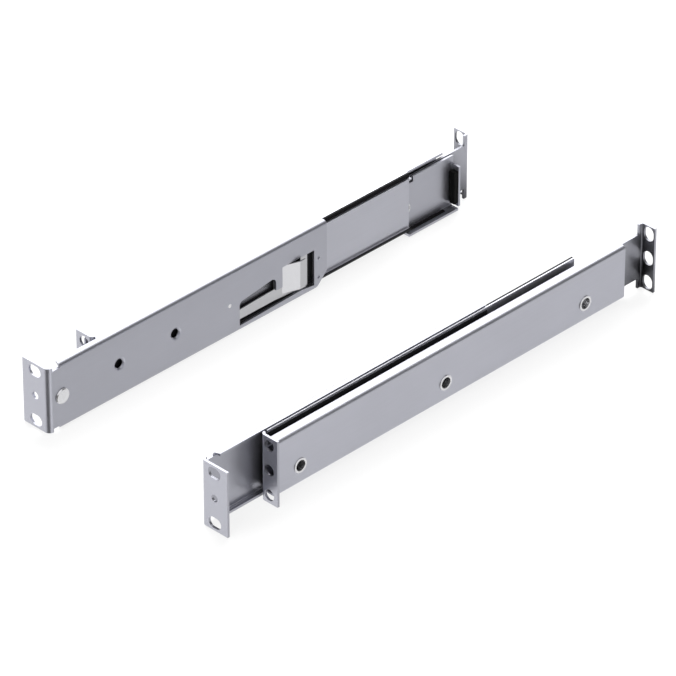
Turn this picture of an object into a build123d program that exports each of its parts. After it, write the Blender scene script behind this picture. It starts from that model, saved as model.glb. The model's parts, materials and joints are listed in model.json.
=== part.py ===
from build123d import *
import os

os.makedirs("parts", exist_ok=True)

# Sliding server rail pair, millimetres. Each rail is drawn once, with X from the ear's front face
# towards the rear of the rack, Y outboard from the chassis member's inboard face, and Z up from the
# bottom of the rack flanges. It is then placed as the left rail and mirrored as the right one.

# Rack and chassis sizes
rail_spread = 117.8          # between the inboard faces of the two chassis members
flange_height = 42.2         # height of a rack flange, just under one rack unit
hole_pitch = 15.875          # vertical pitch of rack holes
flange_front_x = 38.5        # front face of the front rack flange
rack_depth = 296.5           # from the front flange's face to the rear flange's face
sheet = 1.5                  # thickness of the plated steel sheet
running_gap = 0.3            # gap between sheets that slide past each other
fit_gap = 0.05               # radial clearance of pins and balls

# Chassis member and its ear
member_gap = 0.35            # of its lips inside the flanges' edges
member_length = 213.0        # from the ear's face to the rear end
member_lip = 4.6             # reach of a lip from the inboard face
member_bend = 2.2            # outside radius of the lip bends
ear_width = 20.0             # outboard reach of the ear
ear_bend = 3.5               # outside radius of the ear bend
ear_slot_width = 9.4
ear_slot_height = 6.8
ear_slot_reach = 10.4        # centre of the ear's slots from the inboard face
ear_hole_radius = 2.3
lip_start = 9.0              # where the lips begin behind the ear
lip_slant = 1.6              # slant of the lip's front end
chassis_hole_x = 53.2        # first chassis screw hole
chassis_hole_pitch = 42.4
chassis_hole_radius = 2.75
countersink_radius = 4.6
countersink_depth = 1.1
rear_chamfer = 9.0           # cut corner at the lower rear end
stud_head_x = 10.1
stud_head_radius = 4.8
stud_head_height = 1.2
stud_shank_radius = 2.4
dimple_run = 69.4            # two small dimples behind the latch window
dimple_rises = (7.35, 20.05)
dimple_radius = 0.9
dimple_depth = 0.5

# Release latch: a rise is a height above the chassis member's lower edge, a run is a distance
# behind the latch's rivet
latch_sheet = 0.8
latch_gap = 0.15             # gap between the latch leaf and the member
latch_back_length = 76.0     # from the rivet to the chassis member's rear end
latch_pivot_rise = 19.85
latch_foot_length = 4.5      # leaf in front of its rivet
latch_edge_gap = 0.35        # between the leaf and the intermediate member's lower lip
arm_start_run = 7.5
arm_end_run = 36.0
arm_low_rise = 6.3
arm_start_rise = 12.5        # upper edge of the arm at its front end
arm_end_rise = 13.6          # upper edge of the arm at its rear end
paddle_start_run = 41.0
paddle_low_run = 56.0        # where the lower edge has come all the way down
paddle_end_run = 62.0
window_low_rise = 3.45
window_high_rise = 26.65
window_end_run = 66.0
window_edge = 0.5            # how far the leaf reaches behind the window's upper edge
eye_start_radius = 2.6       # rounded ends of the opening above the arm
eye_start_rise = 16.4
eye_end_radius = 3.3
eye_end_rise = 18.75
tab_end_run = 56.8
tab_flare = 4.0              # how far the tab's rear end stands inboard of the leaf
tab_level_length = 4.0       # level part at the tab's rear end
tab_bend = 1.2
tab_low_rise = 8.0
tab_high_rise = 26.25
rivet_radius = 1.3
rivet_head_radius = 2.3
rivet_head_height = 0.7

# Intermediate member, its carrier plate and its balls
slide_sheet = 1.1
carrier_sheet = 0.8
carrier_inset = 0.8          # of the carrier plate's upper edge below the chassis member's
member_in = 1.0              # travel of the chassis member past its closed place
strip_thickness = 1.3        # of the dark strip on the intermediate member's upper lip
ball_radius = 1.19
lip_space = 1.8              # space between the lips of the two members
slide_start_x = 44.0
slide_end_x = 283.0
slide_lip_start = 1.9        # inboard edge of the intermediate member's lips
slide_bend = 1.8
ball_line = 3.3              # ball centres from the inboard face
cage_start_x = 89.0
cage_length = 70.0
cage_thickness = 0.6
cage_width = 2.5
ball_pitch = 16.0
ball_count = 4

# Guide rollers that carry the intermediate member on the bracket
stud_x = 150.0
stud_pitch = 26.0
stud_rise = 5.9              # above the middle height
guide_radius = 2.0
guide_head_radius = 3.4
guide_head_height = 1.1
roller_radius = 2.85
track_gap = 0.15
slide_out = 100.0            # travel of the intermediate member towards the front
slide_in = 33.0              # travel towards the rear

# Front bracket, fixed in the rack
leg_inset = 3.25             # of the leg's edges inside the chassis member's
leg_step_x = 288.5           # the leg is lower in front of here
leg_step = 6.6               # how much lower it is there
tail_step = 3.4              # how much lower it is behind there
flange_reach = 18.6          # outboard edge of the rack flanges
flange_bend = 2.6
rack_hole_radius = 3.55
hole_margin = 0.25           # between a flange's bend and its holes
end_tab_x = 320.2
end_tab_rise = 8.9           # above the middle height
ledge_start_x = 280.0
ledge_bend = 2.3
ledge_edge = 0.5
bumper_thickness = 3.0
bumper_margin = 1.95         # above the intermediate member's lower edge
bumper_inset = 3.0           # below the end tab's upper edge
bumper_width = 4.0
pad_start_x = 284.0
pad_end_x = 312.0
pad_thickness = 0.9
pad_gap = 0.25
pad_width = 1.9

# Outer channel and its spacer bushings
channel_gap = 1.0            # behind the front flange
channel_end_x = 315.0
channel_face = 15.0          # outboard face of the channel
channel_bend = 2.5
channel_lip = 6.6            # reach of the channel's lips from its outboard face
bushing_x = 59.2
bushing_pitch = 111.65
bushing_drop = 5.4           # below the middle height
bushing_count = 3
bushing_radius = 4.0
bushing_bore = 3.3
bushing_rim_radius = 4.6
bushing_rim = 0.5

# Rear bracket, which slides out of the channel to suit the rack's depth
rear_leg_start_x = 235.0
rear_leg_inset = 2.9         # of its edges from the channel's
rear_hole_radius = 3.55
rear_hole_height = 9.0
adjust_in = 16.0             # shortening of the rail
adjust_out = 36.0            # lengthening of the rail

# Sizes worked out from those above
middle_z = flange_height / 2
member_height = flange_height - 2 * member_gap
member_low_z = middle_z - member_height / 2
member_high_z = middle_z + member_height / 2
slide_low_z = member_low_z + sheet + lip_space
slide_high_z = member_high_z - sheet - lip_space
slide_depth = member_lip + running_gap
carrier_back = slide_depth + carrier_sheet
ball_low_z = member_low_z + sheet + lip_space / 2
ball_high_z = member_high_z - sheet - lip_space / 2
latch_pivot_x = member_length - latch_back_length
latch_pivot_z = member_low_z + latch_pivot_rise
arm_start_x = latch_pivot_x + arm_start_run
arm_end_x = latch_pivot_x + arm_end_run
paddle_start_x = latch_pivot_x + paddle_start_run
paddle_low_x = latch_pivot_x + paddle_low_run
paddle_end_x = latch_pivot_x + paddle_end_run
window_end_x = latch_pivot_x + window_end_run
tab_end_x = latch_pivot_x + tab_end_run
dimple_x = latch_pivot_x + dimple_run
latch_face = sheet + latch_gap
latch_back = latch_face + latch_sheet
leaf_low_z = slide_low_z + slide_sheet + latch_edge_gap
stud_z = middle_z + stud_rise
leg_low_z = member_low_z + leg_inset
leg_high_z = member_high_z - leg_inset
leg_face = carrier_back + running_gap
leg_back = leg_face + sheet
rear_face = leg_back + running_gap
rear_back = rear_face + sheet
ledge_top = slide_low_z - pad_gap - pad_thickness
end_tab_high_z = middle_z + end_tab_rise
pad_back = leg_face - (ledge_bend - sheet) - fit_gap
bumper_back = leg_face - (flange_bend - sheet) - fit_gap
channel_start_x = flange_front_x + sheet + channel_gap
bushing_z = middle_z - bushing_drop
rear_flange_x = flange_front_x + rack_depth
overall_length = rear_flange_x + sheet
far = 2 * overall_length     # longer than any piece, for cutting away a whole side
past = 1.0                   # how far a cut runs past the face that it opens


def block(x0, x1, y0, y1, z0, z1):
    """A box between two corners."""
    centre = Pos((x0 + x1) / 2, (y0 + y1) / 2, (z0 + z1) / 2)
    return centre * Box(x1 - x0, y1 - y0, z1 - z0)


def cross_bore(x, z, radius, y0, y1):
    """A round pin or hole along Y."""
    return Pos(x, (y0 + y1) / 2, z) * Rot(90, 0, 0) * Cylinder(radius, y1 - y0)


def long_bore(y, z, radius, x0, x1):
    """A round pin or hole along X."""
    return Pos((x0 + x1) / 2, y, z) * Rot(0, 90, 0) * Cylinder(radius, x1 - x0)


def cross_slot(x0, x1, z, height, y0, y1):
    """A round-ended slot that is long in X and runs through in Y."""
    outline = SlotOverall(x1 - x0, height)
    return Pos((x0 + x1) / 2, y1, z) * Rot(90, 0, 0) * extrude(outline, y1 - y0)


def flange_slot(x, y, z, width, height):
    """A round-ended slot through a flange, wide in Y and high in Z."""
    if width > height:
        outline = SlotOverall(width, height)
    else:
        outline = Rot(0, 0, 90) * SlotOverall(height, width)
    plane = Plane(origin=(x - sheet, y, z), x_dir=(0, 1, 0), z_dir=(1, 0, 0))
    return extrude(plane * outline, 3 * sheet)


def bent_along_x(points, thickness, radius, x0, x1):
    """A sheet with bends along X: points are (Y, Z) of its middle line."""
    outline = trace(FilletPolyline(*points, radius=radius), thickness)
    plane = Plane(origin=(x0, 0, 0), x_dir=(0, 1, 0), z_dir=(1, 0, 0))
    return extrude(plane * outline, x1 - x0, dir=(1, 0, 0))


def bent_along_z(points, thickness, radius, z0, z1):
    """A sheet with bends along Z: points are (X, Y) of its middle line."""
    outline = trace(FilletPolyline(*points, radius=radius), thickness)
    return extrude(Pos(0, 0, z0) * outline, z1 - z0, dir=(0, 0, 1))


def side_outline(points, y0, y1):
    """A plate with the given (X, Z) outline, from y0 to y1."""
    outline = make_face(Polyline(*points, close=True))
    return Pos(0, y1, 0) * Rot(90, 0, 0) * extrude(outline, y1 - y0)


def rack_hole_heights():
    """Heights of the three holes in a rack flange."""
    return [middle_z + step * hole_pitch for step in (-1, 0, 1)]


# Chassis member: a C with its lips bent outboard, and the ear bent out at its front end
def inner_member():
    mid = sheet / 2
    lip = [
        (member_lip, member_high_z - mid),
        (mid, member_high_z - mid),
        (mid, member_low_z + mid),
        (member_lip, member_low_z + mid),
    ]
    body = bent_along_x(lip, sheet, member_bend - mid, lip_start, member_length)
    lip_end = member_lip + past
    slant = Polyline((lip_start, sheet), (lip_start, lip_end), (lip_start + lip_slant, lip_end), close=True)
    body -= extrude(make_face(slant), far, both=True)
    plan = [(mid, ear_width), (mid, mid), (lip_start + mid, mid)]
    front = bent_along_z(plan, sheet, ear_bend - mid, member_low_z, member_high_z)
    step = block(ear_bend, far, -far, far, member_high_z - member_bend, far)
    front -= step
    front -= mirror(step, about=Plane(origin=(0, 0, middle_z), z_dir=(0, 0, 1)))
    body += front
    for z in rack_hole_heights():
        if z == middle_z:
            body -= long_bore(ear_slot_reach, z, ear_hole_radius, -past, sheet + past)
        else:
            body -= flange_slot(0, ear_slot_reach, z, ear_slot_width, ear_slot_height)
    for rise in dimple_rises:
        body -= cross_bore(dimple_x, member_low_z + rise, dimple_radius, -past, dimple_depth)
    for index in range(2):
        x = chassis_hole_x + index * chassis_hole_pitch
        body -= cross_bore(x, middle_z, chassis_hole_radius, -past, sheet + past)
        cone = Cone(countersink_radius, chassis_hole_radius, countersink_depth)
        body -= Pos(x, countersink_depth / 2, middle_z) * Rot(-90, 0, 0) * cone
    body -= cross_bore(stud_head_x, middle_z, stud_shank_radius, -past, sheet + past)
    body -= cross_bore(latch_pivot_x, latch_pivot_z, rivet_radius, -past, sheet + past)
    body -= latch_window()
    corner = [
        (member_length - rear_chamfer, member_low_z - past),
        (member_length + past, member_low_z - past),
        (member_length + past, member_low_z + rear_chamfer),
        (member_length, member_low_z + rear_chamfer),
        (member_length - rear_chamfer, member_low_z),
    ]
    body -= side_outline(corner, -past, far)
    body -= ball_track(lip_start, far)
    return body


# The opening in the chassis member: an eye above the arm, the slit below it, and the tab's window
def latch_window():
    low_z = member_low_z + window_low_rise
    high_z = member_low_z + window_high_rise
    start_z = member_low_z + arm_start_rise
    end_z = member_low_z + arm_end_rise
    edges = [
        (arm_start_x, low_z),
        (paddle_low_x, leaf_low_z),
        (window_end_x, low_z),
        (window_end_x, high_z),
        (paddle_start_x, high_z),
        (paddle_start_x, end_z),
        (arm_end_x, end_z),
        (arm_start_x, start_z),
    ]
    small = Pos(arm_start_x + eye_start_radius, member_low_z + eye_start_rise) * Circle(eye_start_radius)
    large = Pos(arm_end_x - eye_end_radius, member_low_z + eye_end_rise) * Circle(eye_end_radius)
    sill = Line((arm_start_x, start_z), (arm_end_x, end_z))
    eye = extrude(make_hull(small.edges() + large.edges() + sill.edges()), far, both=True)
    return side_outline(edges, -past, far) + Rot(90, 0, 0) * eye


# The round race that the balls run in, above and below
def ball_track(x0, x1):
    radius = ball_radius + fit_gap
    low = long_bore(ball_line, ball_low_z, radius, x0, x1)
    return low + long_bore(ball_line, ball_high_z, radius, x0, x1)


# Round head near the ear, riveted through the chassis member
def front_stud():
    shank = cross_bore(stud_head_x, middle_z, stud_shank_radius, 0, sheet)
    head = cross_bore(stud_head_x, middle_z, stud_head_radius, -stud_head_height, 0)
    edge = head.faces().sort_by(Axis.Y)[0].edges()
    return shank + chamfer(edge, stud_head_height / 2)


# Spring leaf behind the chassis member, with a flared tab that reaches in through the window
def release_latch():
    foot_x = latch_pivot_x - latch_foot_length
    arm_low_z = member_low_z + arm_low_rise
    leaf_high_z = member_low_z + window_high_rise + window_edge
    outline = [
        (foot_x, arm_low_z),
        (arm_end_x, arm_low_z),
        (paddle_low_x, leaf_low_z),
        (paddle_end_x, leaf_low_z),
        (paddle_end_x, leaf_high_z),
        (arm_end_x, leaf_high_z),
        (arm_end_x, member_low_z + arm_end_rise),
        (arm_start_x, member_low_z + arm_start_rise),
        (arm_start_x, latch_pivot_z + latch_foot_length),
        (foot_x, latch_pivot_z + latch_foot_length),
    ]
    leaf = side_outline(outline, latch_face, latch_back)
    leaf -= cross_bore(latch_pivot_x, latch_pivot_z, rivet_radius + 2 * fit_gap, 0, far)
    tab_low_z = member_low_z + tab_low_rise
    tab_high_z = member_low_z + tab_high_rise
    leaf -= block(paddle_start_x, tab_end_x, 0, far, tab_low_z, tab_high_z)
    leaf_y = latch_face + latch_sheet / 2
    run = [
        (paddle_start_x - tab_bend, leaf_y),
        (paddle_start_x + tab_bend, leaf_y),
        (tab_end_x - tab_level_length, leaf_y - tab_flare),
        (tab_end_x, leaf_y - tab_flare),
    ]
    return leaf + bent_along_z(run, latch_sheet, tab_bend, tab_low_z, tab_high_z)


# Rivet that holds the latch leaf, with its head on the outboard side
def latch_rivet():
    head_start = latch_back + latch_gap
    shank = cross_bore(latch_pivot_x, latch_pivot_z, rivet_radius, 0, head_start)
    head_end = head_start + rivet_head_height
    head = cross_bore(latch_pivot_x, latch_pivot_z, rivet_head_radius, head_start, head_end)
    return shank + head


# Intermediate member: a C open inboard, inside the lips of the chassis member
def intermediate_member():
    mid = slide_sheet / 2
    profile = [
        (slide_lip_start, slide_high_z - mid),
        (slide_depth - mid, slide_high_z - mid),
        (slide_depth - mid, slide_low_z + mid),
        (slide_lip_start, slide_low_z + mid),
    ]
    body = bent_along_x(profile, slide_sheet, slide_bend - mid, slide_start_x, slide_end_x)
    body -= ball_track(0, far)
    for index in range(2):
        x = stud_x + index * stud_pitch
        body -= cross_bore(x, stud_z, guide_radius, 0, far)
    return body


# Flat plate on the back of the intermediate member, which stands up behind the chassis member's lip
def carrier_plate():
    high_z = member_high_z - carrier_inset
    plate = block(slide_start_x, slide_end_x, slide_depth, carrier_back, slide_low_z, high_z)
    for index in range(2):
        plate -= cross_bore(stud_x + index * stud_pitch, stud_z, guide_radius, 0, far)
    return plate


# Dark strip that lies on the intermediate member's upper lip, behind the chassis member
def lip_strip():
    start = member_length + member_in + running_gap
    high_z = member_high_z - carrier_inset
    return block(start, slide_end_x, slide_depth - strip_thickness, slide_depth, slide_high_z, high_z)


# Two studs riveted in the intermediate member and its plate; their heads run behind the bracket
def guide_studs():
    studs = []
    head_start = rear_face
    for index in range(2):
        x = stud_x + index * stud_pitch
        shank = cross_bore(x, stud_z, guide_radius, slide_depth - slide_sheet, head_start)
        head = cross_bore(x, stud_z, guide_head_radius, head_start, head_start + guide_head_height)
        studs.append(shank + head)
    return Compound(children=studs)


# Plastic rollers on the studs, which run in the bracket's long slot
def guide_rollers():
    rollers = []
    for index in range(2):
        x = stud_x + index * stud_pitch
        start = carrier_back + fit_gap
        end = rear_face - fit_gap
        roller = cross_bore(x, stud_z, roller_radius, start, end)
        roller -= cross_bore(x, stud_z, guide_radius + fit_gap, 0, far)
        rollers.append(roller)
    return Compound(children=rollers)


def ball_places():
    """Positions along X of the balls of one row."""
    first = cage_start_x + cage_length / 2 - ball_pitch * (ball_count - 1) / 2
    return [first + index * ball_pitch for index in range(ball_count)]


# Thin strip that keeps a row of balls apart
def ball_cage(z):
    low_y = ball_line - cage_width / 2
    high_y = ball_line + cage_width / 2
    cage_end = cage_start_x + cage_length
    low_z = z - cage_thickness / 2
    high_z = z + cage_thickness / 2
    strip = block(cage_start_x, cage_end, low_y, high_y, low_z, high_z)
    for x in ball_places():
        strip -= Pos(x, ball_line, z) * Cylinder(ball_radius + fit_gap, far)
    return strip


def balls(z):
    return Compound(children=[Pos(x, ball_line, z) * Sphere(ball_radius) for x in ball_places()])


# Front bracket: rack flange at the front, long leg, ledge and end tab at the rear
def front_bracket():
    mid = sheet / 2
    front_mid = flange_front_x + mid
    leg_mid = leg_face + mid
    plan = [
        (front_mid, flange_reach),
        (front_mid, leg_mid),
        (end_tab_x + mid, leg_mid),
        (end_tab_x + mid, ledge_edge),
    ]
    body = bent_along_z(plan, sheet, flange_bend - mid, 0, flange_height)
    leg_start = flange_front_x + flange_bend
    body -= block(leg_start, far, -far, far, leg_high_z, far)
    body -= block(leg_start, far, -far, far, -far, leg_low_z)
    body -= block(leg_start, leg_step_x, -far, far, leg_high_z - leg_step, far)
    body -= block(leg_step_x, far, -far, far, leg_high_z - tail_step, far)
    body -= block(end_tab_x - past, far, -far, leg_face, end_tab_high_z, far)
    ledge_mid = ledge_top - mid
    ledge = [(ledge_edge, ledge_mid), (leg_mid, ledge_mid), (leg_mid, ledge_top + ledge_bend)]
    body += bent_along_x(ledge, sheet, ledge_bend - mid, ledge_start_x, end_tab_x)
    centre = leg_face + flange_bend + hole_margin + rack_hole_radius
    for z in rack_hole_heights():
        body -= long_bore(centre, z, rack_hole_radius, flange_front_x - past, flange_front_x + sheet + past)
    track_start = stud_x - slide_out - roller_radius - 2 * track_gap
    track_end = stud_x + stud_pitch + slide_in + roller_radius + 2 * track_gap
    track_height = 2 * (roller_radius + track_gap)
    body -= cross_slot(track_start, track_end, stud_z, track_height, leg_face - past, leg_back + past)
    for x in bushing_places():
        body -= cross_bore(x, bushing_z, bushing_radius, 0, leg_back + past)
    return body


# Soft bar on the end tab, which stops the intermediate member
def end_bumper():
    start = end_tab_x - bumper_thickness
    low_z = slide_low_z + bumper_margin
    high_z = end_tab_high_z - bumper_inset
    return block(start, end_tab_x, bumper_back - bumper_width, bumper_back, low_z, high_z)


# Plastic strip on the ledge, under the intermediate member
def glide_pad():
    pad_top = ledge_top + pad_thickness
    return block(pad_start_x, pad_end_x, pad_back - pad_width, pad_back, ledge_top, pad_top)


def bushing_places():
    return [bushing_x + index * bushing_pitch for index in range(bushing_count)]


# Outer channel: the broad plate seen from outside, with short lips towards the bracket's leg
def outer_channel():
    mid = sheet / 2
    profile = [
        (channel_face - channel_lip, leg_high_z - mid),
        (channel_face - mid, leg_high_z - mid),
        (channel_face - mid, leg_low_z + mid),
        (channel_face - channel_lip, leg_low_z + mid),
    ]
    body = bent_along_x(profile, sheet, channel_bend - mid, channel_start_x, channel_end_x)
    for x in bushing_places():
        body -= cross_bore(x, bushing_z, bushing_radius, channel_face - 2 * sheet, far)
    return body


# Tubular bushings that hold the channel on the leg, with a rim on the outside
def spacer_bushings():
    tubes = []
    for x in bushing_places():
        tube = cross_bore(x, bushing_z, bushing_radius, leg_face, channel_face)
        rim_end = channel_face + bushing_rim
        tube += cross_bore(x, bushing_z, bushing_rim_radius, channel_face, rim_end)
        tube -= cross_bore(x, bushing_z, bushing_bore, 0, far)
        tubes.append(tube)
    return Compound(children=tubes)


# Rear bracket: leg with a slot round the last bushing, and the rear rack flange
def rear_bracket():
    mid = sheet / 2
    leg_mid = rear_face + mid
    rear_mid = rear_flange_x + mid
    plan = [(rear_leg_start_x, leg_mid), (rear_mid, leg_mid), (rear_mid, flange_reach)]
    body = bent_along_z(plan, sheet, flange_bend - mid, 0, flange_height)
    leg_end = rear_flange_x - flange_bend
    body -= block(-far, leg_end, -far, far, leg_high_z - rear_leg_inset, far)
    body -= block(-far, leg_end, -far, far, -far, leg_low_z + rear_leg_inset)
    last = bushing_places()[-1]
    slot_start = last - adjust_out - bushing_radius - running_gap
    slot_end = last + adjust_in + bushing_radius + running_gap
    slot_height = 2 * (bushing_radius + track_gap)
    body -= cross_slot(slot_start, slot_end, bushing_z, slot_height, rear_face - past, rear_back + past)
    centre = rear_face + flange_bend + hole_margin + rear_hole_radius
    for z in rack_hole_heights():
        body -= flange_slot(rear_flange_x, centre, z, 2 * rear_hole_radius, rear_hole_height)
    return body


def rail_pieces():
    """Every piece of one rail, by its plain name."""
    return {
        "inner_member": inner_member(),
        "front_stud": front_stud(),
        "release_latch": release_latch(),
        "latch_rivet": latch_rivet(),
        "intermediate_member": intermediate_member(),
        "carrier_plate": carrier_plate(),
        "lip_strip": lip_strip(),
        "guide_studs": guide_studs(),
        "guide_rollers": guide_rollers(),
        "upper_ball_cage": ball_cage(ball_high_z),
        "lower_ball_cage": ball_cage(ball_low_z),
        "upper_balls": balls(ball_high_z),
        "lower_balls": balls(ball_low_z),
        "front_bracket": front_bracket(),
        "end_bumper": end_bumper(),
        "glide_pad": glide_pad(),
        "outer_channel": outer_channel(),
        "spacer_bushings": spacer_bushings(),
        "rear_bracket": rear_bracket(),
    }


# Placing: origin on the floor at the middle of the pair
for name, piece in rail_pieces().items():
    left = Pos(-overall_length / 2, rail_spread / 2, 0) * piece
    right = mirror(left, about=Plane.XZ)
    export_step(left, f"parts/left_{name}.step")
    export_step(right, f"parts/right_{name}.step")
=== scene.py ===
# %% [markdown]
# # A pair of sliding server rails
# These are two steel rails that carry a shallow server in a rack. Each is a stack of folded sheets:
# a chassis member with a rack ear, an intermediate member that runs on balls inside it, and an outer
# channel with a rack flange at each end. The engineering model already holds every piece at its real
# size, so this lesson is about what a camera sees: softened edges, plating, round balls and the light.

# %% Load the engineering model
import json
import math

import bmesh
import bpy
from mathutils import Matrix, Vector

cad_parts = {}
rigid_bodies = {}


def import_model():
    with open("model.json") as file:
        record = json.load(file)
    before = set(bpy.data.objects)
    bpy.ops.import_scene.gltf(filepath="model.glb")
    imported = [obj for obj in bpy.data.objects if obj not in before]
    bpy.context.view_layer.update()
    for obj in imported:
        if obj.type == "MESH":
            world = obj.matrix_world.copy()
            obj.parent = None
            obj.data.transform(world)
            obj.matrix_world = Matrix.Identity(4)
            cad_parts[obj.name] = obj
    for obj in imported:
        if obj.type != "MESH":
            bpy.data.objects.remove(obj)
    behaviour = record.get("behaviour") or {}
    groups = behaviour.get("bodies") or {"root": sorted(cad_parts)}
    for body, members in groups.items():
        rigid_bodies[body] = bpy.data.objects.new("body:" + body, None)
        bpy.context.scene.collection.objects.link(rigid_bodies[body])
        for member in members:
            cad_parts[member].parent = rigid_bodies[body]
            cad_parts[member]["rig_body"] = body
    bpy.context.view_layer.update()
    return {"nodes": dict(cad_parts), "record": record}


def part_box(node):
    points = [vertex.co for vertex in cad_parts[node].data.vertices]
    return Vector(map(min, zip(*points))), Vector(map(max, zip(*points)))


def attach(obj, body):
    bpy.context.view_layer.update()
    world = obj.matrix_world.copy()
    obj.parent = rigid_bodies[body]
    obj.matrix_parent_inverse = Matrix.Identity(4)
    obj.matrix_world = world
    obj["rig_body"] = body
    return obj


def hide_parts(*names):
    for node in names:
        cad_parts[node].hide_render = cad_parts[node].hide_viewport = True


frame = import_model()
record = frame["record"]
SIDES = ("left", "right")
print("pieces in the frame:", len(frame["nodes"]))

# %% [markdown]
# ## Camera
# The photograph was taken with a very long lens, so the rails' edges run almost parallel. The same
# view could be made with an orthographic camera, but the slight narrowing towards the rear is real,
# so a perspective camera of the solved focal length stands three metres away and looks down on them.

# %% Place the camera
PHOTO_PIXELS = 676
SENSOR_WIDTH = 36.0
FOCAL_PIXELS = 6057.65
CAMERA_TARGET = Vector((-0.01179, -0.00588, 0.020))
CAMERA_AZIMUTH = math.radians(-45.28)
CAMERA_ELEVATION = math.radians(33.27)
CAMERA_DISTANCE = 3.3221
CLIP_END = 20.0


def away_from_target(azimuth, elevation, distance):
    """A place seen from the target at this azimuth, elevation and distance."""
    flat = math.cos(elevation)
    step = Vector((math.sin(azimuth) * flat, -math.cos(azimuth) * flat, math.sin(elevation)))
    return CAMERA_TARGET + distance * step


def aim(obj, target):
    """Turn an object so that it looks at the target."""
    obj.rotation_euler = (target - obj.location).to_track_quat("-Z", "Y").to_euler()


camera_data = bpy.data.cameras.new("photo_camera")
camera_data.sensor_width = SENSOR_WIDTH
camera_data.lens = FOCAL_PIXELS * SENSOR_WIDTH / PHOTO_PIXELS
camera_data.clip_end = CLIP_END
camera = bpy.data.objects.new("photo_camera", camera_data)
camera.location = away_from_target(CAMERA_AZIMUTH, CAMERA_ELEVATION, CAMERA_DISTANCE)
aim(camera, CAMERA_TARGET)
bpy.context.scene.collection.objects.link(camera)
bpy.context.scene.camera = camera
bpy.context.scene.view_settings.view_transform = "Standard"
print("lens in millimetres:", round(camera_data.lens, 1))

# %% [markdown]
# ## Shared shader group: plated sheet
# Zinc plating isn't one flat grey. It has soft clouds where the bath ran thicker, fine lines from
# the rolling mill along the sheet, and tiny specks. Each effect is a noise texture on Object
# coordinates. Narrow gaps get painted shade: an ambient occlusion node finds them and darkens the
# colour there. All this is put in one group with named inputs, so that every metal here can
# use it with its own strengths and its own reach.

# %% Small helpers for shader nodes
def set_sockets(tree, node, values):
    """Set a node's inputs by name, or link them where a socket is given."""
    for name, value in values.items():
        socket = node.inputs[name.replace("_", " ")]
        if isinstance(value, bpy.types.NodeSocket):
            tree.links.new(value, socket)
        else:
            socket.default_value = value


def add_node(tree, kind, **inputs):
    """Add a node with its inputs."""
    node = tree.nodes.new(kind)
    set_sockets(tree, node, inputs)
    return node


def math_node(tree, operation, first, second):
    """One arithmetic step on two values or sockets."""
    node = tree.nodes.new("ShaderNodeMath")
    node.operation = operation
    for socket, value in zip(node.inputs, (first, second)):
        if isinstance(value, bpy.types.NodeSocket):
            tree.links.new(value, socket)
        else:
            socket.default_value = value
    return node.outputs["Value"]


# %% Helpers for node groups and patterns
OCCLUSION_SAMPLES = 8


def new_group(name, numbers, outputs):
    """A shader node group with a colour input, named number inputs and named outputs."""
    group = bpy.data.node_groups.new(name, "ShaderNodeTree")
    group.interface.new_socket("Colour", in_out="INPUT", socket_type="NodeSocketColor")
    for label, value in numbers:
        socket = group.interface.new_socket(label, in_out="INPUT", socket_type="NodeSocketFloat")
        socket.default_value = value
    for label, kind in outputs:
        group.interface.new_socket(label, in_out="OUTPUT", socket_type="NodeSocket" + kind)
    source = group.nodes.new("NodeGroupInput").outputs
    target = group.nodes.new("NodeGroupOutput").inputs
    return group, source, target


def stretched_noise(tree, vector, stretch, scale, detail):
    """Noise that is drawn out along an axis by a mapping."""
    mapping = add_node(tree, "ShaderNodeMapping", Vector=vector, Scale=stretch)
    noise = add_node(
        tree, "ShaderNodeTexNoise", Vector=mapping.outputs["Vector"], Scale=scale, Detail=detail)
    return noise.outputs["Fac"]


def centred(tree, value, strength):
    """Shift a 0 to 1 noise so that it lies around zero, and scale it."""
    shifted = math_node(tree, "SUBTRACT", value, 0.5)
    return math_node(tree, "MULTIPLY", shifted, strength)


def scaled_colour(tree, colour, factor):
    """A colour made darker or paler by a factor."""
    tint = tree.nodes.new("ShaderNodeVectorMath")
    tint.operation = "SCALE"
    tree.links.new(colour, tint.inputs[0])
    tree.links.new(factor, tint.inputs["Scale"])
    return tint.outputs["Vector"]


def openness(tree, reach):
    """1 where nothing stands within reach of the surface, and less in hollows."""
    node = add_node(tree, "ShaderNodeAmbientOcclusion", Distance=reach)
    node.samples = OCCLUSION_SAMPLES
    return node.outputs["AO"]


# %% Build the plated sheet group
CLOUD_STRETCH = (0.6, 1.0, 1.0)
LINE_STRETCH = (0.02, 1.0, 1.0)    # draws the lines out fifty times along the sheet
EVEN = (1.0, 1.0, 1.0)
SPECK_SCALE = 2600.0
CLOUD_LIFT = 2.0                   # how much higher the clouds stand than the lines
RELIEF_DEPTH = 0.0001              # height of the finest relief, in metres
SURFACE_OUTPUTS = (("Colour", "Color"), ("Roughness", "Float"), ("Normal", "Vector"))


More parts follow.
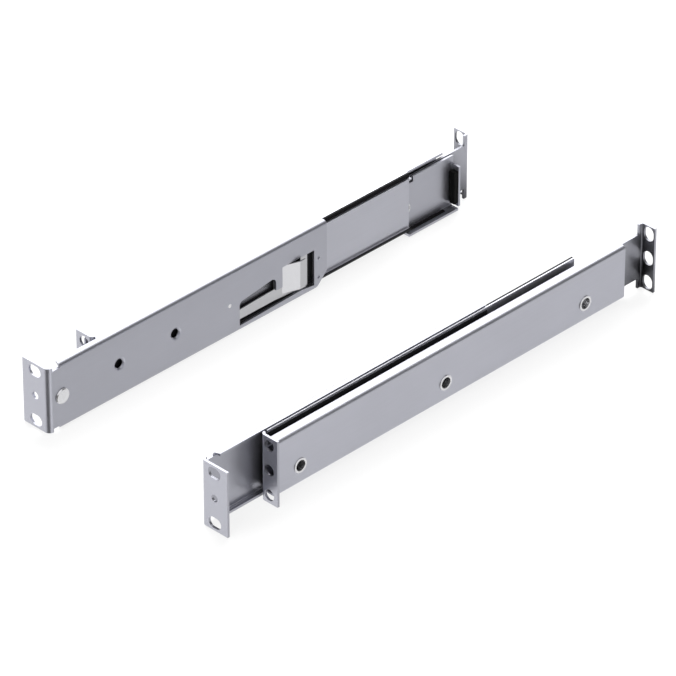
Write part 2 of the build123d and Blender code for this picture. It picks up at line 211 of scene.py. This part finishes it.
def make_plating_group():
    """Colour, roughness and normal of plated sheet, with named strengths."""
    numbers = (
        ("Roughness", 0.35), ("Clouds", 0.10), ("Cloud Scale", 45.0), ("Lines", 0.05),
        ("Line Scale", 900.0), ("Specks", 0.04), ("Relief", 0.05), ("Hollow Shade", 0.06),
        ("Hollow Reach", 0.007), ("Hollow Start", 0.08), ("Hollow End", 0.45),
    )
    group, source, target = new_group("plated_sheet", numbers, SURFACE_OUTPUTS)
    # Painted shade: the colour is darkened where ambient occlusion finds a hollow.
    depth = add_node(
        group, "ShaderNodeMapRange", Value=openness(group, source["Hollow Reach"]),
        From_Min=source["Hollow Start"], From_Max=source["Hollow End"], To_Min=source["Hollow Shade"])
    place = group.nodes.new("ShaderNodeTexCoord").outputs["Object"]
    clouds = stretched_noise(group, place, CLOUD_STRETCH, source["Cloud Scale"], 3.0)
    lines = stretched_noise(group, place, LINE_STRETCH, source["Line Scale"], 2.0)
    specks = stretched_noise(group, place, EVEN, SPECK_SCALE, 1.0)
    shade = math_node(group, "ADD", 1.0, centred(group, clouds, source["Clouds"]))
    shade = math_node(group, "ADD", shade, centred(group, lines, source["Lines"]))
    shade = math_node(group, "ADD", shade, centred(group, specks, source["Specks"]))
    shade = math_node(group, "MULTIPLY", shade, depth.outputs["Result"])
    group.links.new(scaled_colour(group, source["Colour"], shade), target["Colour"])
    rough = math_node(group, "ADD", source["Roughness"], centred(group, clouds, source["Clouds"]))
    rough = math_node(group, "ADD", rough, centred(group, lines, source["Lines"]))
    group.links.new(rough, target["Roughness"])
    height = math_node(group, "ADD", lines, math_node(group, "MULTIPLY", clouds, CLOUD_LIFT))
    bump = add_node(
        group, "ShaderNodeBump", Strength=source["Relief"], Distance=RELIEF_DEPTH, Height=height)
    group.links.new(bump.outputs["Normal"], target["Normal"])
    return group


plating_group = make_plating_group()
print("plating inputs:", len(plating_group.interface.items_tree))

# %% [markdown]
# ## Shared shader groups: painted shade and moulded grain
# The sheets that slide past each other get painted shade: black in a narrow band along a sheet, and
# on what lies under another sheet, where the gaps are in shadow. Painting it would need a picture,
# but a few comparisons of Object coordinates draw the band, and ambient occlusion finds what is covered.
# The plastics and the rubber share a second group, which gives them mottling and a fine grain.

# %% Build the painted shade group
# Painted shade: the black that the band and the covered places get
PAINTED_SHADE_COLOUR = (0.008, 0.008, 0.010, 1.0)
PAINTED_SHADE_ROUGHNESS = 0.6
COVER_REACH = 0.03    # how far away a covering sheet can be, in metres
COVERED = 0.62        # openness of a covered place
UNCOVERED = 0.86      # openness of a bare one


def make_painted_shade_group():
    """Painted shade over a plated sheet: black in a band, and up to a place along X wherever it is
    covered.
    """
    numbers = (
        ("Roughness", 0.35), ("Metallic", 1.0), ("Band End", 0.0), ("Band Low", 0.0),
        ("Band High", 0.0), ("Cover End", 0.0),
    )
    outputs = (("Colour", "Color"), ("Roughness", "Float"), ("Metallic", "Float"))
    group, source, target = new_group("painted_shade_film", numbers, outputs)
    place = group.nodes.new("ShaderNodeSeparateXYZ")
    group.links.new(group.nodes.new("ShaderNodeTexCoord").outputs["Object"], place.inputs["Vector"])
    in_front = math_node(group, "LESS_THAN", place.outputs["X"], source["Band End"])
    below = math_node(group, "LESS_THAN", place.outputs["Z"], source["Band High"])
    above = math_node(group, "GREATER_THAN", place.outputs["Z"], source["Band Low"])
    band = math_node(group, "MULTIPLY", in_front, math_node(group, "MULTIPLY", below, above))
    cover = add_node(
        group, "ShaderNodeMapRange", Value=openness(group, COVER_REACH), From_Min=COVERED,
        From_Max=UNCOVERED, To_Min=1.0, To_Max=0.0)
    inner = math_node(group, "LESS_THAN", place.outputs["X"], source["Cover End"])
    covered = math_node(group, "MULTIPLY", inner, cover.outputs["Result"])
    painted_dark = math_node(group, "MAXIMUM", band, covered)
    bare = math_node(group, "SUBTRACT", 1.0, painted_dark)
    shade_mix = group.nodes.new("ShaderNodeMix")
    shade_mix.data_type = "RGBA"
    plated, black = (socket for socket in shade_mix.inputs if socket.enabled and socket.name in "AB")
    mixed = next(socket for socket in shade_mix.outputs if socket.enabled)
    black.default_value = PAINTED_SHADE_COLOUR
    group.links.new(painted_dark, shade_mix.inputs["Factor"])
    group.links.new(source["Colour"], plated)
    group.links.new(mixed, target["Colour"])
    group.links.new(math_node(group, "MULTIPLY", bare, source["Metallic"]), target["Metallic"])
    rough = math_node(group, "MULTIPLY", painted_dark, PAINTED_SHADE_ROUGHNESS)
    group.links.new(math_node(group, "MAXIMUM", source["Roughness"], rough), target["Roughness"])
    return group


painted_shade_group = make_painted_shade_group()
print("oil inputs:", len(painted_shade_group.interface.items_tree))

# %% Build the moulded grain group
GRAIN_SCALE = 1400.0
MOTTLE_SCALE = 120.0
MOTTLE = 0.3          # how far the mottling changes the colour
ROUGH_SPREAD = 0.2    # how far the grain changes the roughness


def make_moulded_group():
    """Colour, roughness and normal of moulded rubber or plastic."""
    numbers = (("Roughness", 0.5), ("Grain", 0.2))
    group, source, target = new_group("moulded_grain", numbers, SURFACE_OUTPUTS)
    place = group.nodes.new("ShaderNodeTexCoord").outputs["Object"]
    grain = stretched_noise(group, place, EVEN, GRAIN_SCALE, 3.0)
    mottling = stretched_noise(group, place, EVEN, MOTTLE_SCALE, 2.0)
    shade = math_node(group, "ADD", 1.0, centred(group, mottling, MOTTLE))
    group.links.new(scaled_colour(group, source["Colour"], shade), target["Colour"])
    rough = math_node(group, "ADD", source["Roughness"], centred(group, grain, ROUGH_SPREAD))
    group.links.new(rough, target["Roughness"])
    bump = add_node(
        group, "ShaderNodeBump", Strength=source["Grain"], Distance=RELIEF_DEPTH, Height=grain)
    group.links.new(bump.outputs["Normal"], target["Normal"])
    return group


moulded_group = make_moulded_group()
print("moulded inputs:", len(moulded_group.interface.items_tree))

# %% [markdown]
# ## Finishes
# The sheets are bright zinc over steel: a bluish grey metal with a satin gloss. The latch, the
# studs and the bushings are brighter, the balls are polished, and the stops are black. Metals could
# be faked with a grey dielectric, but then they wouldn't pick up the pale room, so each is a
# Principled shader that is nearly all metallic, fed by the plating group.

# %% Helpers for materials
def place_group(tree, group, **inputs):
    """Put a node group in a material with its own values."""
    node = tree.nodes.new("ShaderNodeGroup")
    node.node_tree = group
    set_sockets(tree, node, inputs)
    return node


def new_material(name):
    """An empty material with its node tree and its Principled shader."""
    material = bpy.data.materials.new(name)
    material.use_nodes = True
    tree = material.node_tree
    return material, tree, tree.nodes["Principled BSDF"]


# %% Ways of making metals and plastics
METALLIC = 0.92    # a satin plating scatters some of its light


def make_metal(name, colour, roughness, **strengths):
    """A metal whose colour, roughness and normal come from the plating group."""
    material, tree, shader = new_material(name)
    plating = place_group(
        tree, plating_group, Colour=(*colour, 1.0), Roughness=roughness, **strengths)
    set_sockets(tree, shader, {
        "Metallic": METALLIC, "Base Color": plating.outputs["Colour"],
        "Roughness": plating.outputs["Roughness"], "Normal": plating.outputs["Normal"]})
    return material


def make_shade_painted_metal(name, colour, roughness, band, cover_end, **strengths):
    """A plated sheet with painted shade: band is its end along X and its lower and upper edge."""
    material, tree, shader = new_material(name)
    plating = place_group(
        tree, plating_group, Colour=(*colour, 1.0), Roughness=roughness, **strengths)
    shade_mix = place_group(
        tree, painted_shade_group, Colour=plating.outputs["Colour"], Roughness=plating.outputs["Roughness"],
        Metallic=METALLIC, Band_End=band[0], Band_Low=band[1], Band_High=band[2], Cover_End=cover_end)
    set_sockets(tree, shader, {
        "Metallic": shade_mix.outputs["Metallic"], "Base Color": shade_mix.outputs["Colour"],
        "Roughness": shade_mix.outputs["Roughness"], "Normal": plating.outputs["Normal"]})
    return material


def make_moulded(name, colour, roughness, grain, gloss):
    """Rubber or plastic whose colour, roughness and normal come from the moulded group."""
    material, tree, shader = new_material(name)
    moulded = place_group(
        tree, moulded_group, Colour=(*colour, 1.0), Roughness=roughness, Grain=grain)
    set_sockets(tree, shader, {
        "Specular IOR Level": gloss, "Base Color": moulded.outputs["Colour"],
        "Roughness": moulded.outputs["Roughness"], "Normal": moulded.outputs["Normal"]})
    return material


# %% Make the finishes
ZINC = (0.49, 0.495, 0.55)
SHADE_BAND = (0.0055, 0.0016)    # the plate's band of painted shade starts and ends this far below its upper edge
SHADE_FOOT = 0.0011              # the member's band of painted shade covers this much of its lowest edge
member_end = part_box("left_inner_member")[1].x
carrier_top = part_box("left_carrier_plate")[1].z
slide_low, slide_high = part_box("left_intermediate_member")
carrier_band = (member_end, carrier_top - SHADE_BAND[0], carrier_top - SHADE_BAND[1])
foot_band = (slide_high.x, 0.0, slide_low.z + SHADE_FOOT)
finishes = {
    "zinc_steel": make_metal("zinc_steel", ZINC, 0.34, Clouds=0.12),
    "bright_steel": make_metal("bright_steel", (0.90, 0.90, 0.92), 0.24, Clouds=0.06, Lines=0.03),
    "spring_steel": make_metal("spring_steel", (0.64, 0.64, 0.66), 0.30, Clouds=0.08, Lines=0.04),
    # The channel, the carrier plate and the intermediate member are the same zinc made paler: painted
    # light, so that they show brighter than the other sheets.
    "channel_steel": make_metal(
        "channel_steel", (0.58, 0.585, 0.65), 0.34, Clouds=0.12, Hollow_Shade=0.7),
    "bracket_steel": make_metal(
        "bracket_steel", ZINC, 0.34, Clouds=0.12, Hollow_Reach=0.03, Hollow_Start=0.42, Hollow_End=0.92),
    # The carrier plate and the intermediate member get painted shade in their band and where they are
    # covered.
    "shade_painted_steel": make_shade_painted_metal(
        "shade_painted_steel", (0.70, 0.705, 0.76), 0.34, carrier_band, slide_low.x, Clouds=0.12,
        Hollow_Shade=0.8),
    "member_steel": make_shade_painted_metal(
        "member_steel", (0.56, 0.565, 0.625), 0.30, foot_band, member_end, Clouds=0.12),
    "ball_steel": make_metal("ball_steel", (0.80, 0.80, 0.82), 0.08, Clouds=0.02, Lines=0.0, Relief=0.0),
    "white_plastic": make_moulded("white_plastic", (0.80, 0.80, 0.77), 0.45, 0.1, 0.5),
    "black_plastic": make_moulded("black_plastic", (0.004, 0.004, 0.005), 0.55, 0.2, 0.12),
    "black_rubber": make_moulded("black_rubber", (0.004, 0.004, 0.004), 0.70, 0.4, 0.10),
}
slot_of_node = {part["node"]: part["material_slot"] for part in record["subparts"]}
finish_of_piece = {
    "release_latch": "spring_steel", "intermediate_member": "member_steel",
    "carrier_plate": "shade_painted_steel", "outer_channel": "channel_steel", "rear_bracket": "bracket_steel",
}
print("finishes:", sorted(finishes))

# %% [markdown]
# ## Softened edges
# A punched and folded sheet has no knife edges: tumbling and plating leave a tiny round on every
# corner, and that round is what draws the thin bright lines along the rails. Subdivision would bloat
# flat sheets, so a copy of each piece is merged, its flat triangles are joined into whole faces, and
# a small bevel is put on the sharp edges only.

# %% Helpers for softening the edges
SMOOTH_ANGLE = math.radians(32)
FLAT_ANGLE = math.radians(0.5)    # neighbouring triangles that are flatter than this become one face
MERGE_DISTANCE = 2e-6
BEVEL_SEGMENTS = 2
FACE_WEIGHT = 100                 # lets the large flat faces decide how the shading runs


def clean_copy(node):
    """A merged copy of a CAD piece whose flat faces are whole."""
    mesh = frame["nodes"][node].data.copy()
    work = bmesh.new()
    work.from_mesh(mesh)
    bmesh.ops.remove_doubles(work, verts=work.verts, dist=MERGE_DISTANCE)
    bmesh.ops.dissolve_limit(work, angle_limit=FLAT_ANGLE, verts=work.verts, edges=work.edges)
    work.to_mesh(mesh)
    work.free()
    return mesh


def apply_modifiers(obj):
    """Turn an object's modifiers into its mesh."""
    evaluated = obj.evaluated_get(bpy.context.evaluated_depsgraph_get())
    mesh = bpy.data.meshes.new_from_object(evaluated)
    obj.modifiers.clear()
    obj.data = mesh
    return mesh


def dress(node, width):
    """Replace a CAD piece with a copy that has softened edges."""
    piece = bpy.data.objects.new(node + "_dressed", clean_copy(node))
    bpy.context.scene.collection.objects.link(piece)
    piece.data.materials.clear()
    finish = finish_of_piece.get(node.split("_", 1)[1], slot_of_node[node])
    piece.data.materials.append(finishes[finish])
    for polygon in piece.data.polygons:
        polygon.use_smooth = True
    bevel = piece.modifiers.new("edges", "BEVEL")
    bevel.width = width
    bevel.segments = BEVEL_SEGMENTS
    bevel.limit_method = "ANGLE"
    bevel.angle_limit = SMOOTH_ANGLE
    bevel.use_clamp_overlap = True
    weigh = piece.modifiers.new("flat_faces", "WEIGHTED_NORMAL")
    weigh.mode = "FACE_AREA"
    weigh.weight = FACE_WEIGHT
    apply_modifiers(piece)
    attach(piece, frame["nodes"][node]["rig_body"])
    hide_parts(node)
    return piece


# %% Dress the sheet and turned pieces
EDGE_WIDTHS = {
    "inner_member": 0.00012, "front_bracket": 0.00012, "outer_channel": 0.00012, "rear_bracket": 0.00012,
    # The lip strip is black plastic laid where the gap above the intermediate member's lip is in shade:
    # its black is painted shade.
    "intermediate_member": 0.00010, "carrier_plate": 0.00008, "lip_strip": 0.00010,
    "release_latch": 0.00010, "front_stud": 0.00015, "latch_rivet": 0.00012, "guide_studs": 0.00015,
    "guide_rollers": 0.00012, "spacer_bushings": 0.00012, "end_bumper": 0.00045, "glide_pad": 0.00020,
    "upper_ball_cage": 0.00005, "lower_ball_cage": 0.00005,
}
dressed = {}
for side in SIDES:
    for name, width in EDGE_WIDTHS.items():
        dressed[f"{side}_{name}"] = dress(f"{side}_{name}", width)
print("dressed pieces:", len(dressed), "faces:", sum(len(p.data.polygons) for p in dressed.values()))

# %% [markdown]
# ## Balls
# Each slide runs on four short rows of bearing balls. They are perfectly round and all alike, which
# is what Geometry Nodes are for: a line of points at the ball pitch, a sphere on each point, and the
# result made real. The row's place and length come from the frame.

# %% Make the rows of balls
BALL_SEGMENTS = 24
BALL_RINGS = 12
BALL_PITCH = 0.016


def make_ball_row_tree():
    """A node tree that lays spheres along X at a pitch."""
    tree = bpy.data.node_groups.new("ball_row", "GeometryNodeTree")
    for name, kind in (("Count", "Int"), ("Pitch", "Float"), ("Radius", "Float"), ("Start", "Vector")):
        tree.interface.new_socket(name, in_out="INPUT", socket_type=f"NodeSocket{kind}")
    tree.interface.new_socket("Finish", in_out="INPUT", socket_type="NodeSocketMaterial")
    tree.interface.new_socket("Geometry", in_out="OUTPUT", socket_type="NodeSocketGeometry")
    source = tree.nodes.new("NodeGroupInput").outputs
    target = tree.nodes.new("NodeGroupOutput").inputs
    step = tree.nodes.new("ShaderNodeCombineXYZ")
    tree.links.new(source["Pitch"], step.inputs["X"])
    line = tree.nodes.new("GeometryNodeMeshLine")
    tree.links.new(source["Count"], line.inputs["Count"])
    tree.links.new(source["Start"], line.inputs["Start Location"])
    tree.links.new(step.outputs["Vector"], line.inputs["Offset"])
    ball = tree.nodes.new("GeometryNodeMeshUVSphere")
    ball.inputs["Segments"].default_value = BALL_SEGMENTS
    ball.inputs["Rings"].default_value = BALL_RINGS
    tree.links.new(source["Radius"], ball.inputs["Radius"])
    smooth = tree.nodes.new("GeometryNodeSetShadeSmooth")
    tree.links.new(ball.outputs["Mesh"], smooth.inputs["Geometry"])
    spread = tree.nodes.new("GeometryNodeInstanceOnPoints")
    tree.links.new(line.outputs["Mesh"], spread.inputs["Points"])
    tree.links.new(smooth.outputs["Geometry"], spread.inputs["Instance"])
    real = tree.nodes.new("GeometryNodeRealizeInstances")
    tree.links.new(spread.outputs["Instances"], real.inputs["Geometry"])
    coat = tree.nodes.new("GeometryNodeSetMaterial")
    tree.links.new(real.outputs["Geometry"], coat.inputs["Geometry"])
    tree.links.new(source["Finish"], coat.inputs["Material"])
    tree.links.new(coat.outputs["Geometry"], target["Geometry"])
    return tree


def set_inputs(modifier, tree, values):
    """Set a Geometry Nodes modifier's inputs by their names."""
    for item in tree.interface.items_tree:
        if item.in_out == "INPUT" and item.name in values:
            modifier[item.identifier] = values[item.name]


ball_row_tree = make_ball_row_tree()
for side in SIDES:
    for row in ("upper_balls", "lower_balls"):
        node = f"{side}_{row}"
        low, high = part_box(node)
        radius = (high.z - low.z) / 2
        middle = (low + high) / 2
        piece = bpy.data.objects.new(node + "_round", bpy.data.meshes.new(node + "_round"))
        bpy.context.scene.collection.objects.link(piece)
        modifier = piece.modifiers.new("row", "NODES")
        modifier.node_group = ball_row_tree
        count = 1 + round((high.x - low.x - 2 * radius) / BALL_PITCH)
        values = {
            "Count": count, "Pitch": BALL_PITCH, "Radius": radius,
            "Start": (low.x + radius, middle.y, middle.z), "Finish": finishes["ball_steel"],
        }
        set_inputs(modifier, ball_row_tree, values)
        apply_modifiers(piece)
        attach(piece, frame["nodes"][node]["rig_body"])
        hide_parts(node)
print("balls in a row:", count)

# %% [markdown]
# ## Floor, lamps and surroundings
# The photograph is a catalogue picture on white, yet its metal is full of contrast: upward faces
# are white, upright ones are grey, and the bends between them are black. A metal shows what it
# reflects, so this is a matter of what stands around it. The floor and the sky are simply white to
# the camera. Lamps alone would give small hard glints, so reflections get a room of their own: pale
# grey walls, a bright card behind the rails, weaker ones low around them, and dark cards in front of
# and beside them, which is how a photographer draws the shape of bright metal.

# %% Lay the floor
FLOOR_SIZE = 12.0
FLOOR_DROP = 0.0002               # keeps the floor clear of the flanges that stand on it
PAPER = (0.86, 0.86, 0.86, 1.0)
PAPER_GLOW = 0.82                 # the part of plain white in what the camera sees
floor_mesh = bpy.data.meshes.new("floor")
corners = [(FLOOR_SIZE * x, FLOOR_SIZE * y, 0.0) for x, y in ((-1, -1), (1, -1), (1, 1), (-1, 1))]
floor_mesh.from_pydata(corners, [], [(0, 1, 2, 3)])
floor = bpy.data.objects.new("floor", floor_mesh)
bpy.context.scene.collection.objects.link(floor)
floor.location.z = -FLOOR_DROP


def seen_directly(tree):
    """1 for camera and transmission rays, 0 for the light that falls on things."""
    path = tree.nodes.new("ShaderNodeLightPath").outputs
    return math_node(tree, "MAXIMUM", path["Is Camera Ray"], path["Is Transmission Ray"])


def make_floor_material():
    """Pale paper that looks white, keeps a soft shadow and isn't seen in the metal."""
    material = bpy.data.materials.new("floor_paper")
    material.use_nodes = True
    tree = material.node_tree
    tree.nodes.clear()
    paper = add_node(tree, "ShaderNodeBsdfDiffuse", Color=PAPER)
    glow = add_node(tree, "ShaderNodeEmission", Color=(1.0, 1.0, 1.0, 1.0), Strength=1.0)
    mix = tree.nodes.new("ShaderNodeMixShader")
    tree.links.new(math_node(tree, "MULTIPLY", seen_directly(tree), PAPER_GLOW), mix.inputs["Fac"])
    tree.links.new(paper.outputs["BSDF"], mix.inputs[1])
    tree.links.new(glow.outputs["Emission"], mix.inputs[2])
    clear = tree.nodes.new("ShaderNodeBsdfTransparent")
    unseen = tree.nodes.new("ShaderNodeMixShader")
    path = tree.nodes.new("ShaderNodeLightPath").outputs
    tree.links.new(path["Is Glossy Ray"], unseen.inputs["Fac"])
    tree.links.new(mix.outputs["Shader"], unseen.inputs[1])
    tree.links.new(clear.outputs["BSDF"], unseen.inputs[2])
    output = tree.nodes.new("ShaderNodeOutputMaterial")
    tree.links.new(unseen.outputs["Shader"], output.inputs["Surface"])
    return material


floor_mesh.materials.append(make_floor_material())
print("floor half width in metres:", FLOOR_SIZE)

# %% Set up the cards that the metal reflects
ROOM_GREY = 0.80
CARD_EDGE = 8.0    # half width of a card's soft edge, in degrees
CARDS = (
    # azimuth, elevation, half width in degrees, brightness
    (135.0, 33.0, 34.0, 2.5),
    (135.0, -33.0, 30.0, 1.2),
    (-45.0, -28.0, 42.0, 0.10),
    (-90.0, -8.0, 30.0, 0.04),
    (48.0, 25.0, 26.0, 0.05),
    (0.0, -40.0, 20.0, 1.3),
    (45.0, -33.0, 28.0, 0.72),
    (-135.0, -33.0, 34.0, 1.05),
)


def add_card(tree, direction, value, azimuth, elevation, half_width, brightness):
    """Mix one round card into the brightness that a reflected ray meets."""
    turn, rise = math.radians(azimuth), math.radians(elevation)
    middle = Vector((math.sin(turn) * math.cos(rise), -math.cos(turn) * math.cos(rise), math.sin(rise)))
    dot = tree.nodes.new("ShaderNodeVectorMath")
    dot.operation = "DOT_PRODUCT"
    tree.links.new(direction, dot.inputs[0])
    dot.inputs[1].default_value = middle
    edge = tree.nodes.new("ShaderNodeMapRange")
    edge.interpolation_type = "SMOOTHSTEP"
    tree.links.new(dot.outputs["Value"], edge.inputs["Value"])
    edge.inputs["From Min"].default_value = math.cos(math.radians(half_width + CARD_EDGE))
    edge.inputs["From Max"].default_value = math.cos(math.radians(half_width - CARD_EDGE))
    inside = edge.outputs["Result"]
    kept = math_node(tree, "MULTIPLY", value, math_node(tree, "SUBTRACT", 1.0, inside))
    return math_node(tree, "ADD", kept, math_node(tree, "MULTIPLY", inside, brightness))


# %% Light the room
WORLD_FILL = 0.55    # strength of the room's light on matt things
world = bpy.data.worlds.new("pale_room")
bpy.context.scene.world = world
world.use_nodes = True
world_tree = world.node_tree
world_tree.nodes.clear()
direction = world_tree.nodes.new("ShaderNodeTexCoord").outputs["Generated"]
cards = ROOM_GREY
for card in CARDS:
    cards = add_card(world_tree, direction, cards, *card)
world_path = world_tree.nodes.new("ShaderNodeLightPath").outputs
glossy = world_path["Is Glossy Ray"]
seen = seen_directly(world_tree)
unseen = math_node(world_tree, "SUBTRACT", math_node(world_tree, "SUBTRACT", 1.0, seen), glossy)
strength = math_node(world_tree, "ADD", seen, math_node(world_tree, "MULTIPLY", unseen, WORLD_FILL))
strength = math_node(world_tree, "ADD", strength, math_node(world_tree, "MULTIPLY", glossy, cards))
room = add_node(world_tree, "ShaderNodeBackground", Color=(1.0, 1.0, 1.0, 1.0), Strength=strength)
world_output = world_tree.nodes.new("ShaderNodeOutputWorld")
world_tree.links.new(room.outputs["Background"], world_output.inputs["Surface"])


def add_lamp(name, azimuth, elevation, distance, size, power):
    """A soft lamp aimed at the rails, which the metal doesn't mirror."""
    data = bpy.data.lights.new(name, "AREA")
    data.shape = "RECTANGLE"
    data.size, data.size_y = size
    data.energy = power
    lamp = bpy.data.objects.new(name, data)
    lamp.location = away_from_target(math.radians(azimuth), math.radians(elevation), distance)
    aim(lamp, CAMERA_TARGET)
    lamp.visible_glossy = False
    bpy.context.scene.collection.objects.link(lamp)


LAMPS = (
    # name, azimuth, elevation, distance, width and height, power
    ("back_lamp", 134.7, 50.0, 2.2, (2.0, 1.2), 110.0),
    ("key_lamp", -80.0, 48.0, 2.4, (1.2, 1.2), 22.0),
    ("front_lamp", -10.0, 30.0, 2.6, (1.0, 1.0), 8.0),
)
for lamp in LAMPS:
    add_lamp(*lamp)
print("cards:", len(CARDS), "lamps:", len(LAMPS))
